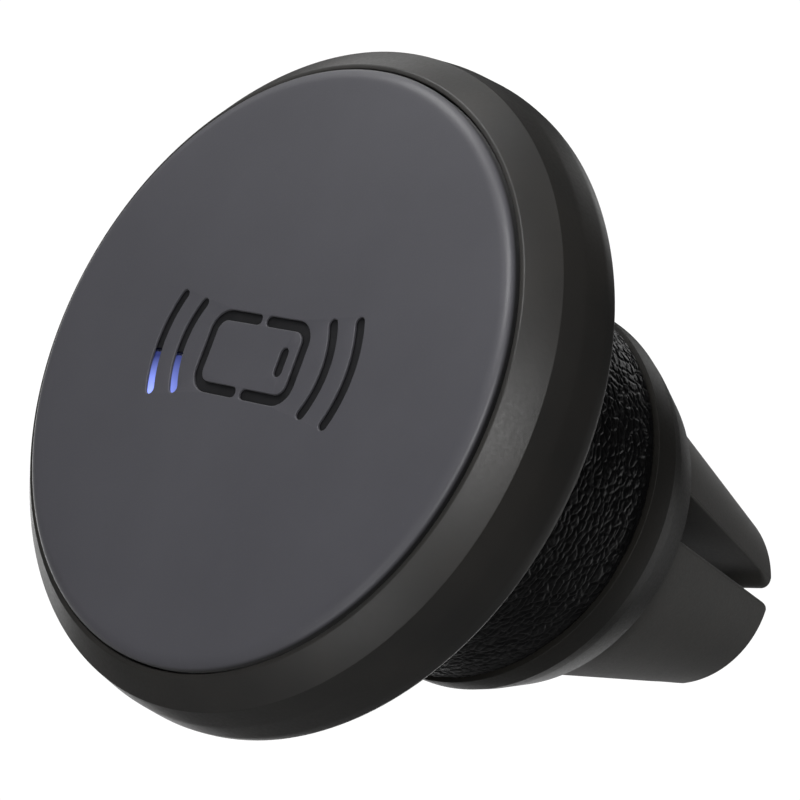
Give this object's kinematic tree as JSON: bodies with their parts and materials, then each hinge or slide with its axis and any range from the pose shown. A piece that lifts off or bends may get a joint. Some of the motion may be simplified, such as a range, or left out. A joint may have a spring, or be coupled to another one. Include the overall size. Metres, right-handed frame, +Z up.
{
  "type": "car phone mount",
  "caption": "Round magnetic phone mount on a ball joint, with a leather-wrapped locking collar and a slotted cone clip that grips an air-vent louvre.",
  "frame": {"origin": "centre of the flat phone face of the head", "axes": "+Y from the phone face back along the axis to the tip of the vent clip, +Z up when the clip is on a level louvre, +X to the right when the phone face is looked at"},
  "size_m": [0.041, 0.0468, 0.041],
  "materials": {
    "soft_pad": "soft-touch matt",
    "dark_plate": "smoked gloss",
    "accent_window": "translucent light blue",
    "adhesive": "acrylic foam tape",
    "shell_plastic": "fine satin texture",
    "cover_plastic": "fine spark-eroded texture",
    "carrier_plastic": "plain moulded",
    "magnet": "nickel plate",
    "plated_steel": "zinc plate",
    "polished_steel": "polished",
    "screw_steel": "black oxide",
    "liner_polymer": "natural polymer",
    "slip_acetal": "natural acetal",
    "socket_acetal": "black acetal",
    "leather": "pebbled grain",
    "ring_plastic": "satin",
    "clip_rubber": "matt silicone"
  },
  "bodies": {
    "base": {"base_ring": "ring_plastic", "ball_socket": "socket_acetal", "spring_washer": "plated_steel", "hub_screw": "screw_steel", "clip_hub": "ring_plastic"},
    "slip": {"slip_ring": "slip_acetal"},
    "collar": {"collar_nut": "shell_plastic", "leather_sleeve": "leather"},
    "liner": {"ball_liner": "liner_polymer"},
    "ball": {"joint_ball": "polished_steel", "ball_stem": "plated_steel"},
    "head": {"face_pad": "soft_pad", "emblem_plate": "dark_plate", "accent_window": "accent_window", "adhesive_disc": "adhesive", "head_shell": "shell_plastic", "magnet_carrier": "carrier_plastic", "magnet_1": "magnet", "magnet_2": "magnet", "magnet_3": "magnet", "magnet_4": "magnet", "magnet_5": "magnet", "magnet_6": "magnet", "yoke_plate": "plated_steel", "rear_cover": "cover_plastic", "cover_screw_1": "screw_steel", "cover_screw_2": "screw_steel", "cover_screw_3": "screw_steel", "stem_screw": "screw_steel"},
    "prong_ur": {"prong_upper_right": "clip_rubber"},
    "prong_ul": {"prong_upper_left": "clip_rubber"},
    "prong_ll": {"prong_lower_left": "clip_rubber"},
    "prong_lr": {"prong_lower_right": "clip_rubber"}
  },
  "joints": [
    {"name": "ball_pan", "type": "hinge", "parent": "base", "child": "liner", "pos_m": [0, 0.017, 0], "axis": [0, 0, 1], "range_deg": [-18, 18]},
    {"name": "ball_tilt", "type": "hinge", "parent": "liner", "child": "ball", "pos_m": [0, 0.017, 0], "axis": [1, 0, 0], "range_deg": [-18, 18]},
    {"name": "head_spin", "type": "hinge", "parent": "ball", "child": "head", "pos_m": [0, 0.017, 0], "axis": [0, 1, 0], "continuous": true},
    {"name": "collar_travel", "type": "slide", "parent": "base", "child": "slip", "axis": [0, -1, 0], "range_m": [0, 0.0008]},
    {"name": "collar_turn", "type": "hinge", "parent": "slip", "child": "collar", "pos_m": [0, 0.017, 0], "axis": [0, -1, 0], "range_deg": [0, 192]},
    {"name": "prong_ur_flex", "type": "hinge", "parent": "base", "child": "prong_ur", "pos_m": [0.00672, 0.0272, 0.00672], "axis": [0.7071, 0, -0.7071], "range_deg": [0, 4], "stiffness_Nm_per_rad": 0.4},
    {"name": "prong_ul_flex", "type": "hinge", "parent": "base", "child": "prong_ul", "pos_m": [-0.00672, 0.0272, 0.00672], "axis": [0.7071, 0, 0.7071], "range_deg": [0, 4], "stiffness_Nm_per_rad": 0.4},
    {"name": "prong_ll_flex", "type": "hinge", "parent": "base", "child": "prong_ll", "pos_m": [-0.00672, 0.0272, -0.00672], "axis": [-0.7071, 0, 0.7071], "range_deg": [0, 4], "stiffness_Nm_per_rad": 0.4},
    {"name": "prong_lr_flex", "type": "hinge", "parent": "base", "child": "prong_lr", "pos_m": [0.00672, 0.0272, -0.00672], "axis": [-0.7071, 0, -0.7071], "range_deg": [0, 4], "stiffness_Nm_per_rad": 0.4}
  ],
  "couplings": [
    {"joint": "collar_turn", "follows": "collar_travel", "rad_per_m": 4188.8}
  ]
}
